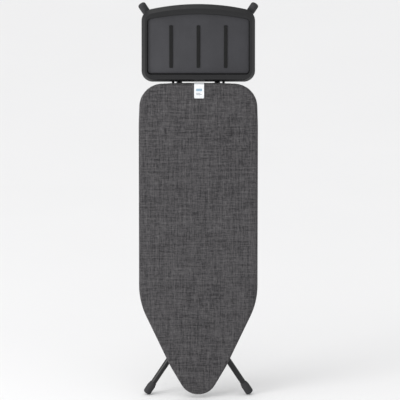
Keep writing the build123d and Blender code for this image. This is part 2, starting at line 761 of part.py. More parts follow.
CROSS_TUBE_RADIUS = 8.0
CROSS_TUBES = {
    "inner_cross_tube_upper": (INNER_X, 1120.0),
    "inner_cross_tube_lower": (INNER_X, 330.0),
    "outer_cross_tube": (OUTER_X, 1285.0),
}
for name, (tube_x, tube_z) in CROSS_TUBES.items():
    with BuildPart() as cross_tube:
        reach = tube_x - TUBE_RADIUS / 2
        rod_across(-reach, reach, TUBE_DEPTH, tube_z, CROSS_TUBE_RADIUS)
        for leg_rod_part in leg_rods:
            add(leg_rod_part, mode=Mode.SUBTRACT)
        rod_across(-reach, reach, TUBE_DEPTH, tube_z, CROSS_TUBE_RADIUS - TUBE_WALL, Mode.SUBTRACT)
    finish_piece(cross_tube, name)

# Crossing: an axle fixed in the inner legs, which the outer legs turn on.
CROSSING_OUTER = OUTER_X + TUBE_RADIUS + RUNNING_GAP
with BuildPart() as crossing_axle:
    rod_across(-CROSSING_OUTER, CROSSING_OUTER, TUBE_DEPTH, CROSSING_Z, AXLE_RADIUS)
finish_piece(crossing_axle, "crossing_axle")

with BuildPart() as crossing_washers:
    washer_from = INNER_X + TUBE_RADIUS
    washer_to = OUTER_X - TUBE_RADIUS - RUNNING_GAP
    rod_across(washer_from, washer_to, TUBE_DEPTH, CROSSING_Z, TUBE_RADIUS - 1)
    rod_across(washer_from, washer_to, TUBE_DEPTH, CROSSING_Z, AXLE_RADIUS, Mode.SUBTRACT)
    mirror(about=Plane.YZ)
finish_piece(crossing_washers, "crossing_washers")

with BuildPart() as crossing_caps:
    rod_across(CROSSING_OUTER, CROSSING_OUTER + CAP_LENGTH, TUBE_DEPTH, CROSSING_Z, CAP_RADIUS + 1)
    chamfer(crossing_caps.faces().sort_by(Axis.X)[-1].edges(), length=CAP_CHAMFER)
    mirror(about=Plane.YZ)
finish_piece(crossing_caps, "crossing_caps")

# Slide: an axle across the board with a nylon shoe in each rail.
SHOE_INNER_X = RAIL_INNER_X + RAIL_WALL + SHOE_GAP
SHOE_OUTER_X = RAIL_INNER_X + RAIL_WIDTH - RAIL_WALL - SHOE_GAP
SLIDE_AXLE_END = SHOE_OUTER_X - 3
with BuildPart() as slide_axle:
    rod_across(-SLIDE_AXLE_END, SLIDE_AXLE_END, AXLE_DEPTH, SLIDE_Z, AXLE_RADIUS)
finish_piece(slide_axle, "slide_axle")

for name, side in SIDES.items():
    with BuildPart() as glide_shoe:
        block(
            side * SHOE_INNER_X,
            side * SHOE_OUTER_X,
            BRACE_BACK + RAIL_WALL + SHOE_GAP,
            rail_back - RAIL_WALL - SHOE_GAP,
            SLIDE_Z - SHOE_LENGTH / 2,
            SLIDE_Z + SHOE_LENGTH / 2,
        )
        fillet(glide_shoe.edges().filter_by(Axis.X), 2)
        add(slide_axle.part, mode=Mode.SUBTRACT)
    finish_piece(glide_shoe, f"glide_shoe_{name}")
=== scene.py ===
import json
import math

import bmesh
import bpy
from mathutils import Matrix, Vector
from mathutils.noise import noise


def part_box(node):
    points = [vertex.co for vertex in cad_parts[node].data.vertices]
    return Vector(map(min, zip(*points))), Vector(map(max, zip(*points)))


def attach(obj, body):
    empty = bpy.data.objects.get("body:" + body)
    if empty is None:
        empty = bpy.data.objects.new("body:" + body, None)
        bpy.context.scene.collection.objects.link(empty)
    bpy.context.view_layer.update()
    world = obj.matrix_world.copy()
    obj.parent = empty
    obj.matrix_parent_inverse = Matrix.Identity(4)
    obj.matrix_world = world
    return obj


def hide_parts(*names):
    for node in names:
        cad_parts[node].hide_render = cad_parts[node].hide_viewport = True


bl_info = {
    "name": "Folding ironing board",
    "version": (1, 0, 0),
    "blender": (4, 5, 0),
    "location": "View3D > Sidebar > Ironing board",
    "description": "Soft goods, finishes and studio for a folding ironing board",
    "category": "Object",
}

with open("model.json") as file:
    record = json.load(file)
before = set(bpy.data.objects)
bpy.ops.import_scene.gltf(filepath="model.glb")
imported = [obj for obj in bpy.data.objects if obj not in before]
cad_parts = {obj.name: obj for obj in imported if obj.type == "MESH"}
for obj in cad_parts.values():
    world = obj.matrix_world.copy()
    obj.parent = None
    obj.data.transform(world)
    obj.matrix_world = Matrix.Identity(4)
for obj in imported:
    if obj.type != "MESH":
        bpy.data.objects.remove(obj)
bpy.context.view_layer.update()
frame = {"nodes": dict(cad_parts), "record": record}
MM = 0.001


# ------------------------------------------------------------------ places, from the frame

COVER_LOW, COVER_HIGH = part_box("cover")
MESH_LOW, MESH_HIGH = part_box("mesh_top")
LABEL_LOW, LABEL_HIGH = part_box("cover_label")
PLATE_LOW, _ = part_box("holder_plate")
SPRING_LOW, SPRING_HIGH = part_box("latch_spring")


class BoardSizes(bpy.types.PropertyGroup):
    """Sizes of the soft goods that a user would change."""

    crown: bpy.props.FloatProperty(
        name="Crown",
        description="How far the pad lifts the cover between its edges",
        default=0.6 * MM,
        subtype="DISTANCE",
    )
    gathers: bpy.props.IntProperty(
        name="Gathers",
        description="Number of small folds round the gathered hem",
        default=150,
        min=10,
    )
    mesh_pitch: bpy.props.FloatProperty(
        name="Mesh pitch",
        description="Distance between the holes in the sheet under the pad",
        default=12.5 * MM,
        subtype="DISTANCE",
    )
    spring_turns: bpy.props.IntProperty(
        name="Spring turns",
        description="Turns of the latch's torsion spring",
        default=9,
        min=2,
    )


class BoardColours(bpy.types.PropertyGroup):
    """Colours of the finishes that a user would change."""

    cloth_dark: bpy.props.FloatVectorProperty(
        name="Cloth, dark yarn",
        description="Colour of the warp and of the dark slubs",
        subtype="COLOR",
        size=3,
        min=0,
        max=1,
        default=(0.020, 0.019, 0.021),
    )
    cloth_light: bpy.props.FloatVectorProperty(
        name="Cloth, light yarn",
        description="Colour of the weft and of the light slubs",
        subtype="COLOR",
        size=3,
        min=0,
        max=1,
        default=(0.108, 0.104, 0.107),
    )
    plastic: bpy.props.FloatVectorProperty(
        name="Moulded plastic",
        description="Colour of the holder and the small mouldings",
        subtype="COLOR",
        size=3,
        min=0,
        max=1,
        default=(0.007, 0.007, 0.008),
    )
    steel_coat: bpy.props.FloatVectorProperty(
        name="Powder coat",
        description="Colour of the coated steel",
        subtype="COLOR",
        size=3,
        min=0,
        max=1,
        default=(0.007, 0.007, 0.008),
    )
    rubber: bpy.props.FloatVectorProperty(
        name="Rubber",
        description="Colour of the foot caps",
        subtype="COLOR",
        size=3,
        min=0,
        max=1,
        default=(0.026, 0.026, 0.028),
    )
    backdrop: bpy.props.FloatVectorProperty(
        name="Backdrop",
        description="Colour of the studio floor",
        subtype="COLOR",
        size=3,
        min=0,
        max=1,
        default=(0.86, 0.86, 0.865),
    )


def sizes():
    return bpy.context.scene.ironing_board_sizes


def colours():
    return bpy.context.scene.ironing_board_colours


# ------------------------------------------------------------------ finishes

# Places of the colour sockets on a Mix node.
MIX_COLOUR_A, MIX_COLOUR_B, MIX_COLOUR_RESULT = 6, 7, 2


class Finish:
    """A node material under construction, with short calls for its usual nodes."""

    def __init__(self, name, roughness, metallic=0.0, specular=0.5):
        self.material = bpy.data.materials.new(name)
        self.material.use_nodes = True
        self.tree = self.material.node_tree
        self.shader = self.tree.nodes["Principled BSDF"]
        self.shader.inputs["Roughness"].default_value = roughness
        self.shader.inputs["Metallic"].default_value = metallic
        self.shader.inputs["Specular IOR Level"].default_value = specular
        self.place = self.tree.nodes.new("ShaderNodeTexCoord").outputs["Object"]

    def node(self, kind, **settings):
        made = self.tree.nodes.new("ShaderNode" + kind)
        for key, value in settings.items():
            setattr(made, key, value)
        return made

    def feed(self, socket, value):
        if isinstance(value, bpy.types.NodeSocket):
            self.tree.links.new(value, socket)
        else:
            socket.default_value = value

    def stretched(self, scale, turn=(0, 0, 0)):
        """Object coordinates, in metres, scaled along each axis."""
        mapping = self.node("Mapping")
        self.feed(mapping.inputs["Vector"], self.place)
        mapping.inputs["Scale"].default_value = scale
        mapping.inputs["Rotation"].default_value = turn
        return mapping.outputs["Vector"]

    def noise(self, scale, detail=2.0, roughness=0.5, turn=(0, 0, 0)):
        texture = self.node("TexNoise")
        self.feed(texture.inputs["Vector"], self.stretched(scale, turn))
        texture.inputs["Scale"].default_value = 1.0
        texture.inputs["Detail"].default_value = detail
        texture.inputs["Roughness"].default_value = roughness
        return texture.outputs["Fac"]

    def span(self, value, low, high, to_low=0.0, to_high=1.0):
        """Map a range of a value to another, clamped."""
        mapped = self.node("MapRange")
        self.feed(mapped.inputs["Value"], value)
        mapped.inputs["From Min"].default_value = low
        mapped.inputs["From Max"].default_value = high
        mapped.inputs["To Min"].default_value = to_low
        mapped.inputs["To Max"].default_value = to_high
        return mapped.outputs["Result"]

    def combine(self, kind, first, second):
        """One step of arithmetic on two values."""
        made = self.node("Math", operation=kind)
        self.feed(made.inputs[0], first)
        self.feed(made.inputs[1], second)
        return made.outputs[0]

    def blend(self, factor, first, second):
        """Mix of two colours."""
        made = self.node("Mix", data_type="RGBA")
        self.feed(made.inputs["Factor"], factor)
        for index, value in ((MIX_COLOUR_A, first), (MIX_COLOUR_B, second)):
            linked = isinstance(value, bpy.types.NodeSocket)
            self.feed(made.inputs[index], value if linked else (*value, 1))
        return made.outputs[MIX_COLOUR_RESULT]

    def axis(self, name):
        """One of the object coordinates, in metres."""
        split = self.node("SeparateXYZ")
        self.feed(split.inputs[0], self.place)
        return split.outputs[name]

    def ribs(self, name, pitch):
        """Even ribs along one axis, from -1 to 1, a pitch apart."""
        made = self.node("Math", operation="SINE")
        self.feed(made.inputs[0], self.combine("MULTIPLY", self.axis(name), math.tau / pitch))
        return made.outputs[0]

    def bump(self, height, strength, distance):
        made = self.node("Bump")
        made.inputs["Strength"].default_value = strength
        made.inputs["Distance"].default_value = distance
        self.feed(made.inputs["Height"], height)
        self.feed(self.shader.inputs["Normal"], made.outputs["Normal"])

    def colour(self, value):
        self.feed(self.shader.inputs["Base Color"], value)

    def mottle(self, pattern, low, high, dark, light):
        """Base colour that drifts between two tones with a pattern."""
        self.colour(self.blend(self.span(pattern, low, high), dark, light))

    def roughen(self, value):
        self.feed(self.shader.inputs["Roughness"], value)


def scaled(colour, factor):
    return tuple(min(1.0, channel * factor) for channel in colour)


def woven_cloth(name, dark, light, yarn=0.7 * MM):
    """Chambray: dark warp and light weft, with slubs of uneven yarn along both."""
    finish = Finish(name, roughness=0.9, specular=0.25)
    finish.shader.inputs["Sheen Weight"].default_value = 0.08
    finish.shader.inputs["Sheen Roughness"].default_value = 0.5
    finish.shader.inputs["Sheen Tint"].default_value = (0.8, 0.8, 0.82, 1)
    # Long and short slubs, each across and up the board, in cells per metre.
    across = finish.noise((9, 60, 170), detail=4, roughness=0.65)
    along = finish.noise((170, 60, 9), detail=4, roughness=0.65)
    short = finish.noise((60, 120, 330), detail=3, roughness=0.65)
    tall = finish.noise((330, 120, 60), detail=3, roughness=0.65)
    weft = finish.span(across, 0.34, 0.66)
    warp = finish.span(along, 0.34, 0.66)
    flecks = finish.combine("ADD", finish.span(short, 0.42, 0.7), finish.span(tall, 0.42, 0.7))
    streaks = finish.combine("ADD", weft, warp)
    mixed = finish.combine("ADD", streaks, flecks)
    shade = finish.span(mixed, 0.65, 2.9)
    weave = finish.combine("MULTIPLY", finish.ribs("X", yarn), finish.ribs("Z", yarn))
    woven = finish.combine("MULTIPLY_ADD", weave, 0.08)
    finish.feed(woven.node.inputs[2], shade)
    wear = finish.noise((5, 5, 4), detail=2)
    aged = finish.blend(finish.span(wear, 0.4, 0.7, 0.0, 0.12), dark, light)
    finish.colour(finish.blend(woven, aged, light))
    height = finish.combine("ADD", weave, finish.combine("MULTIPLY", mixed, 0.9))
    finish.bump(height, strength=0.5, distance=0.25 * MM)
    return finish.material


def moulded_plastic(name, colour, grain=0.45 * MM, roughness=0.36, specular=0.38):
    """Moulded plastic with a fine spark-eroded grain and faint scuffs."""
    finish = Finish(name, roughness=roughness, specular=specular)
    cells = finish.node("TexVoronoi")
    finish.feed(cells.inputs["Vector"], finish.stretched((1 / grain, 1 / grain, 1 / grain)))
    cells.inputs["Scale"].default_value = 1.0
    clouds = finish.noise((9, 9, 9), detail=4, roughness=0.6)
    scuffs = finish.noise((60, 30, 6), detail=5, roughness=0.7)
    finish.mottle(clouds, 0.35, 0.7, scaled(colour, 0.92), scaled(colour, 1.12))
    finish.roughen(finish.span(scuffs, 0.35, 0.75, roughness - 0.05, roughness + 0.1))
    finish.bump(cells.outputs["Distance"], strength=0.25, distance=0.08 * MM)
    return finish.material


def powder_coat(name, colour):
    """Powder coat: satin, with a slight orange peel."""
    finish = Finish(name, roughness=0.38, specular=0.35)
    finish.shader.inputs["Coat Weight"].default_value = 0.1
    finish.shader.inputs["Coat Roughness"].default_value = 0.25
    peel = finish.noise((900, 900, 900), detail=1)
    clouds = finish.noise((12, 12, 5), detail=3)
    finish.mottle(clouds, 0.35, 0.7, scaled(colour, 0.9), scaled(colour, 1.2))
    finish.roughen(finish.span(clouds, 0.3, 0.7, 0.34, 0.44))
    finish.bump(peel, strength=0.18, distance=0.1 * MM)
    return finish.material


def plated_steel(name, colour, roughness=0.28):
    """Bright zinc plate with drawn lines and a cloudy passivation."""
    finish = Finish(name, roughness=roughness, metallic=1.0)
    lines = finish.noise((25, 900, 900), detail=3, roughness=0.6)
    clouds = finish.noise((40, 40, 40), detail=3)
    finish.mottle(clouds, 0.3, 0.7, scaled(colour, 0.85), scaled(colour, 1.1))
    finish.roughen(finish.span(lines, 0.3, 0.7, roughness - 0.06, roughness + 0.12))
    finish.bump(lines, strength=0.12, distance=0.05 * MM)
    return finish.material


def soft_rubber(name, colour, roughness=0.72):
    """Matte rubber or silicone, a little dusty."""
    finish = Finish(name, roughness=roughness, specular=0.35)
    dust = finish.noise((35, 35, 35), detail=5, roughness=0.65)
    grain = finish.noise((1800, 1800, 1800), detail=1)
    finish.mottle(dust, 0.45, 0.8, colour, scaled(colour, 1.5))
    finish.roughen(finish.span(dust, 0.3, 0.8, roughness - 0.06, roughness + 0.1))
    finish.bump(grain, strength=0.2, distance=0.08 * MM)
    return finish.material


def needled_felt(name, colour):
    """Grey felt of tangled fibres."""
    finish = Finish(name, roughness=0.95, specular=0.15)
    fibres = finish.noise((700, 300, 900), detail=4, roughness=0.7)
    lumps = finish.noise((60, 60, 60), detail=4, roughness=0.6)
    mix = finish.combine("ADD", fibres, lumps)
    finish.mottle(mix, 0.7, 1.3, scaled(colour, 0.75), scaled(colour, 1.2))
    finish.bump(mix, strength=0.6, distance=0.4 * MM)
    return finish.material


def woven_label(name, low, high):
    """White satin label with two plain woven bars and a plain tab of colour."""
    finish = Finish(name, roughness=0.6, specular=0.35)
    height, width = high.z - low.z, high.x - low.x
    x, z = finish.axis("X"), finish.axis("Z")

    def within(value, start, end):
        above = finish.combine("GREATER_THAN", value, start)
        below = finish.combine("LESS_THAN", value, end)
        return finish.combine("MULTIPLY", above, below)

    left, base = low.x, low.z
    bars = None
    for z_share, x_from, x_to in ((0.24, 0.2, 0.8), (0.34, 0.2, 0.62)):
        bar = finish.combine(
            "MULTIPLY",
            within(z, base + height * z_share, base + height * (z_share + 0.05)),
            within(x, left + width * x_from, left + width * x_to),
        )
        bars = bar if bars is None else finish.combine("ADD", bars, bar)
    tab = finish.combine(
        "MULTIPLY",
        within(z, base + height * 0.52, base + height * 0.7),
        within(x, left + width * 0.2, left + width * 0.8),
    )
    cloudy = finish.noise((120, 120, 120), detail=2)
    white = finish.blend(finish.span(cloudy, 0.3, 0.7), (0.74, 0.76, 0.78), (0.82, 0.83, 0.85))
    barred = finish.blend(bars, white, (0.28, 0.30, 0.33))
    finish.colour(finish.blend(tab, barred, (0.30, 0.42, 0.52)))
    finish.bump(finish.ribs("Z", 0.6 * MM), strength=0.25, distance=0.1 * MM)
    return finish.material


def studio_paper(name, colour):
    """Seamless paper."""
    finish = Finish(name, roughness=0.9, specular=0.1)
    clouds = finish.noise((1.5, 1.5, 1.5), detail=2)
    finish.mottle(clouds, 0.3, 0.7, scaled(colour, 0.995), scaled(colour, 1.005))
    return finish.material


# ------------------------------------------------------------------ shapes

MERGE_DISTANCE = 0.002 * MM
FACE_TOLERANCE = 0.01 * MM
FLAT_ANGLE = math.radians(1.0)
BEVEL_ANGLE = math.radians(32)
COVER_POINTS = 480
MESH_POINTS = 360
NORMAL_REACH = 3


def mesh_of(node):
    """Copy of a CAD node's mesh, with its loose triangles merged."""
    mesh = frame["nodes"][node].data.copy()
    work = bmesh.new()
    work.from_mesh(mesh)
    bmesh.ops.remove_doubles(work, verts=work.verts, dist=MERGE_DISTANCE)
    work.to_mesh(mesh)
    work.free()
    return mesh


def new_piece(name, mesh):
    piece = bpy.data.objects.new(name, mesh)
    bpy.context.scene.collection.objects.link(piece)
    return piece


def choose(piece):
    """Deselect everything else and make one object active."""
    bpy.ops.object.select_all(action="DESELECT")
    piece.select_set(True)
    bpy.context.view_layer.objects.active = piece


def apply_modifier(piece, kind, **settings):
    """Add a modifier and apply it, as by hand."""
    choose(piece)
    modifier = piece.modifiers.new(kind.title(), kind)
    for key, value in settings.items():
        setattr(modifier, key, value)
    bpy.ops.object.modifier_apply(modifier=modifier.name)


def shade(piece, angle=40):
    choose(piece)
    bpy.ops.object.shade_smooth_by_angle(angle=math.radians(angle))


def dress(piece, material, body="board"):
    """Give a piece its finish and the body that it rides on."""
    piece.data.materials.clear()
    piece.data.materials.append(material)
    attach(piece, body)


def soften(node, width, segments=3):
    """Moulded version of a CAD node: the same shape with rounded edges."""
    mesh = mesh_of(node)
    mesh.materials.clear()
    piece = new_piece(node + "_moulded", mesh)
    choose(piece)
    bpy.ops.object.mode_set(mode="EDIT")
    bpy.ops.mesh.select_all(action="SELECT")
    bpy.ops.mesh.dissolve_limited(angle_limit=FLAT_ANGLE)
    bpy.ops.object.mode_set(mode="OBJECT")
    apply_modifier(
        piece,
        "BEVEL",
        width=width,
        segments=segments,
        limit_method="ANGLE",
        angle_limit=BEVEL_ANGLE,
        harden_normals=False,
        use_clamp_overlap=True,
    )
    shade(piece)
    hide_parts(node)
    return piece


def front_loop(node):
    """The corners of a node's front face as (x, z) points, in order round its middle."""
    low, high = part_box(node)
    front = low.y + FACE_TOLERANCE
    corners = {
        (round(v.co.x, 5), round(v.co.z, 5))
        for v in frame["nodes"][node].data.vertices
        if v.co.y < front
    }
    middle = (low.z + high.z) / 2
    return sorted((Vector(c) for c in corners), key=lambda p: math.atan2(p.y - middle, p.x))


def outward(before, after):
    """Outward normal of an outline that runs from one point to another."""
    along = after - before
    return Vector((along.y, -along.x)).normalized()


def board_outline(count=COVER_POINTS):
    """The board's outline as evenly spaced (x, z) points with outward normals, nose first."""
    loop = front_loop("cover")
    nose = min(range(len(loop)), key=lambda i: (round(abs(loop[i].x), 4), loop[i].y))
    loop = loop[nose:] + loop[:nose]
    lengths = [(loop[(i + 1) % len(loop)] - p).length for i, p in enumerate(loop)]
    step = sum(lengths) / count
    points, walked, target = [], 0.0, 0.0
    for i, length in enumerate(lengths):
        start, end = loop[i], loop[(i + 1) % len(loop)]
        while target < walked + length and len(points) < count:
            points.append(start.lerp(end, (target - walked) / length))
            target += step
        walked += length
    normals = [
        outward(points[i - NORMAL_REACH], points[(i + NORMAL_REACH) % count]) for i in range(count)
    ]
    return points, normals


def band(first, second, count):
    """Faces between two closed rings of count vertices."""
    faces = []
    for i in range(count):
        j = (i + 1) % count
        faces.append((first + i, first + j, second + j, second + i))
    return faces


def ring_surface(name, outline, rings, inner_rings, crown):
    """Surface of rings that follow an outline, closed over a spine up the middle.

    rings holds an inset, a depth and a wave or None for each ring, from the back to the flat
    front. crown is how far the front rises from its last ring to the spine."""
    points, normals = outline
    count = len(points)
    vertices, faces = [], []
    for inset, y, wave in rings:
        for i, (point, normal) in enumerate(zip(points, normals)):
            shift_out, shift_back = wave(i / count) if wave else (0.0, 0.0)
            place = point - normal * (inset - shift_out)
            vertices.append((place.x, y + shift_back, place.y))
    last_inset, last_y, _ = rings[-1]
    for k in range(1, inner_rings + 1):
        share = k / (inner_rings + 1)
        for point, normal in zip(points, normals):
            edge = point - normal * last_inset
            target = Vector((0, min(max(edge.y, SPINE_LOW), SPINE_HIGH)))
            place = edge.lerp(target, share)
            rise = crown * math.sin(share * math.pi / 2)
            vertices.append((place.x, last_y - rise, place.y))
    ring_count = len(rings) + inner_rings
    for k in range(ring_count - 1):
        faces += band(k * count, (k + 1) * count, count)
    inmost = (ring_count - 1) * count
    for i in range(count // 2):
        corners = (i, i + 1, (count - i - 1) % count, (count - i) % count)
        faces.append([inmost + corner for corner in dict.fromkeys(corners)])
    mesh = bpy.data.meshes.new(name)
    mesh.from_pydata(vertices, [], faces)
    return new_piece(name, mesh)


def face_out(piece):
    """Point a shell's faces outwards."""
    choose(piece)
    bpy.ops.object.mode_set(mode="EDIT")
    bpy.ops.mesh.select_all(action="SELECT")
    bpy.ops.mesh.normals_make_consistent(inside=False)
    bpy.ops.object.mode_set(mode="OBJECT")


def close_ring(piece, first, count):
    """Fill the loop of count vertices that starts at vertex first."""
    choose(piece)
    ring = range(first, first + count)
    for vertex in piece.data.vertices:
        vertex.select = False
    for edge in piece.data.edges:
        edge.select = all(v in ring for v in edge.vertices)
    for face in piece.data.polygons:
        face.select = False
    bpy.ops.object.mode_set(mode="EDIT")
    bpy.ops.mesh.select_mode(type="EDGE")
    bpy.ops.mesh.fill(use_beauty=True)
    bpy.ops.mesh.select_all(action="SELECT")
    bpy.ops.mesh.normals_make_consistent(inside=False)
    bpy.ops.object.mode_set(mode="OBJECT")


def swell(piece, pinned, pressure, reach, frames=14):
    """Run cloth with a little pressure, keep each point within reach, and apply the result."""
    held = piece.vertex_groups.new(name="held")
    held.add(pinned, 1.0, "REPLACE")
    before = [vertex.co.copy() for vertex in piece.data.vertices]
    choose(piece)
    cloth = piece.modifiers.new("Cloth", "CLOTH")
    fabric = cloth.settings
    fabric.quality = 6
    fabric.mass = 0.25
    fabric.tension_stiffness = 30
    fabric.compression_stiffness = 30
    fabric.shear_stiffness = 12
    fabric.bending_stiffness = 1.5
    fabric.vertex_group_mass = "held"
    fabric.use_pressure = True
    fabric.uniform_pressure_force = pressure
    fabric.effector_weights.gravity = 0
    cloth.collision_settings.use_collision = False
    cloth.collision_settings.use_self_collision = False
    cloth.point_cache.frame_start = 1
    cloth.point_cache.frame_end = frames
    for step in range(1, frames + 1):
        bpy.context.scene.frame_set(step)
    bpy.ops.object.modifier_apply(modifier=cloth.name)
    bpy.context.scene.frame_set(1)
    for vertex, start in zip(piece.data.vertices, before):
        moved = vertex.co - start
        if moved.length > reach:
            vertex.co = start + moved.normalized() * reach
    piece.vertex_groups.clear()


# ------------------------------------------------------------------ the cover's shape

# Insets from the outline and depths behind the cover's face, in millimetres, from the
# gathered hem behind the frame, round the padded edge, to the flat top.
COVER_PROFILE = (
    (26, 29.6, "hem"),
    (20, 29.9, "hem"),
    (12, 30.0, "hem"),
    (5.0, 29.5, "side"),
    (1.5, 27.5, "side"),
    (0.2, 23.0, "side"),
    (0.0, 16.0, "edge"),
    (0.0, 11.0, "edge"),
    (0.6, 6.5, "edge"),
    (2.4, 3.2, "edge"),
    (5.2, 1.3, "flat"),
    (9.0, 0.45, "flat"),
    (14, 0.12, "flat"),
    (22, 0.0, "flat"),
)
GATHER_DEPTHS = {"hem": 0.9 * MM, "side": 0.45 * MM, "edge": 0.15 * MM, "flat": 0.0}
PAD_PROFILE = ((1.6, 8.0), (1.6, 6.5), (2.6, 4.6), (4.6, 3.0), (7.5, 2.1), (12, 1.75))
SPINE_LOW = COVER_LOW.z + 90 * MM
SPINE_HIGH = COVER_HIGH.z - 225 * MM
COVER_INNER_RINGS = 26
PAD_INNER_RINGS = 4
CLOTH_THICKNESS = 0.7 * MM
PINNED_RINGS = 3
CLOTH_PRESSURE = 2.0
CLOTH_REACH = 0.7 * MM

# Mesh sheet: where it starts inside the outline, its plain border, the share of a cell that
# is open, how far the border laps the cells in pitches, the rise from row to row in sides of
# a cell, and the thickness of its strands.
MESH_INSET = 2 * MM
MESH_BORDER = 7 * MM
MESH_OPEN_SHARE = 0.78
MESH_BORDER_LAP = 0.75
MESH_ROW_RISE = 1.5
MESH_STRAND = 0.4 * MM

# Label: how far it stays off the folded edge in millimetres, off the cloth in metres, and
# the columns of its mesh. Its bars and tab are placed as shares of its height and width.
LABEL_CLEARANCE = 1.0
LABEL_GAP = 0.35 * MM
LABEL_CURL = 0.12 * MM
LABEL_THICKNESS = 0.35 * MM
LABEL_COLUMNS = 14


def gather_wave(kind):
    """Small uneven folds round the hem: the shift outwards and backwards at a share of the way."""
    depth = GATHER_DEPTHS[kind]
    folds = sizes().gathers

    def wave(share):
        uneven = noise(Vector((share * 60, 3.0, 7.0)))
        fold = math.sin(math.tau * (share * folds + 0.9 * uneven))
        return depth * 0.5 * (fold - 1), depth * 0.3 * (fold - 1)

    return wave if depth else None


class MakeCover(bpy.types.Operator):
    """Woven cover, drawn round the padded edge to a gathered hem behind the frame"""

    bl_idname = "ironing_board.make_cover"
    bl_label = "Cover"
    bl_options = {"UNDO"}

    def execute(self, context):
        outline = board_outline()
        count = len(outline[0])
        rings = [
            (inset * MM, COVER_LOW.y + depth * MM, gather_wave(kind))
            for inset, depth, kind in COVER_PROFILE
        ]
        cover = ring_surface("cover_cloth", outline, rings, COVER_INNER_RINGS, sizes().crown)
        face_out(cover)
        swell(cover, list(range(PINNED_RINGS * count)), CLOTH_PRESSURE, CLOTH_REACH)
        apply_modifier(cover, "SOLIDIFY", thickness=CLOTH_THICKNESS, offset=-1.0)
        shade(cover, 60)
        shades = colours()
        cloth = woven_cloth("cover_cloth", shades.cloth_dark, shades.cloth_light)
        dress(cover, cloth)
        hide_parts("cover")
        return {"FINISHED"}


class MakePad(bpy.types.Operator):
    """Felt pad under the cover, with a rounded edge"""

    bl_idname = "ironing_board.make_pad"
    bl_label = "Felt pad"
    bl_options = {"UNDO"}

    def execute(self, context):
        outline = board_outline()
        count = len(outline[0])
        rings = [(inset * MM, COVER_LOW.y + depth * MM, None) for inset, depth in PAD_PROFILE]
        pad = ring_surface("felt_padding", outline, rings, PAD_INNER_RINGS, sizes().crown / 3)
        close_ring(pad, 0, count)
        shade(pad, 50)
        dress(pad, needled_felt("felt_padding", (0.45, 0.45, 0.44)))
        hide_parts("felt_pad")
        return {"FINISHED"}


class MakeMeshSheet(bpy.types.Operator):
    """Coated sheet of six-sided openings that carries the pad"""

    bl_idname = "ironing_board.make_mesh_sheet"
    bl_label = "Mesh sheet"
    bl_options = {"UNDO"}

    def execute(self, context):
        outline = board_outline(MESH_POINTS)
        pitch = sizes().mesh_pitch
        sheet = self.openings(outline, pitch)
        border = self.border(outline, MESH_INSET + MESH_BORDER + pitch * MESH_BORDER_LAP)
        choose(sheet)
        border.select_set(True)
        bpy.ops.object.join()
        shade(sheet, 30)
        dress(sheet, powder_coat("mesh_coat", (0.16, 0.16, 0.165)))
        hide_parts("mesh_top")
        return {"FINISHED"}

    def openings(self, outline, pitch):
        """Rows of six-sided openings, each a ring of six flat strands."""
        points, normals = outline
        ring = pitch / math.sqrt(3)
        inset = MESH_INSET + MESH_BORDER
        inner = [p - n * inset for p, n in zip(points, normals)]
        low = min(p.y for p in inner)
        high = max(p.y for p in inner)
        work = bmesh.new()
        for row in range(int((high - low) / (MESH_ROW_RISE * ring)) + 1):
            z = low + ring + row * MESH_ROW_RISE * ring
            room = min(self.half_width(inner, z + step) for step in (-ring, 0, ring))
            shift = 0.5 * pitch if row % 2 else 0.0
            steps = int(room / pitch) + 1
            for step in range(-steps, steps + 1):
                x = step * pitch + shift
                if abs(x) + pitch / 2 <= room:
                    self.opening(work, x, z, ring)
        bmesh.ops.remove_doubles(work, verts=work.verts, dist=0.05 * MM)
        bmesh.ops.recalc_face_normals(work, faces=work.faces)
        mesh = bpy.data.meshes.new("mesh_sheet")
        work.to_mesh(mesh)
        work.free()
        return self.thicken(new_piece("mesh_sheet", mesh), MESH_STRAND)

    def half_width(self, inner, height):
        """Half the width of the room for openings at a height."""
        best = 0.0
        for a, b in zip(inner, inner[1:] + inner[:1]):
            if (a.y - height) * (b.y - height) <= 0 and a.y != b.y:
                best = max(best, abs(a.x + (b.x - a.x) * (height - a.y) / (b.y - a.y)))
        return best

    def opening(self, work, x, z, ring):
        """One opening: six flat strands between two six-sided rings."""
        y = MESH_LOW.y + 0.1 * MM
        outer, inner = (
            [
                work.verts.new((x + size * math.cos(turn), y, z + size * math.sin(turn)))
                for turn in (math.radians(60 * k + 30) for k in range(6))
            ]
            for size in (ring, ring * MESH_OPEN_SHARE)
        )
        for k in range(6):
            j = (k + 1) % 6
            work.faces.new((outer[k], outer[j], inner[j], inner[k]))

    def border(self, outline, reach):
        """Plain band round the openings."""
        points, normals = outline
        count = len(points)
        vertices = []
        for distance in (MESH_INSET, reach):
            for point, normal in zip(points, normals):
                place = point - normal * distance
                vertices.append((place.x, MESH_LOW.y, place.y))
        faces = band(0, count, count)
        mesh = bpy.data.meshes.new("mesh_border")
        mesh.from_pydata(vertices, [], faces)
        return self.thicken(new_piece("mesh_border", mesh), MESH_HIGH.y - MESH_LOW.y)

    def thicken(self, piece, thickness):
        """Turn a flat piece to the front and give it a thickness behind."""
        if sum(face.normal.y for face in piece.data.polygons) > 0:
            piece.data.flip_normals()
        apply_modifier(piece, "SOLIDIFY", thickness=thickness, offset=-1.0)
        return piece


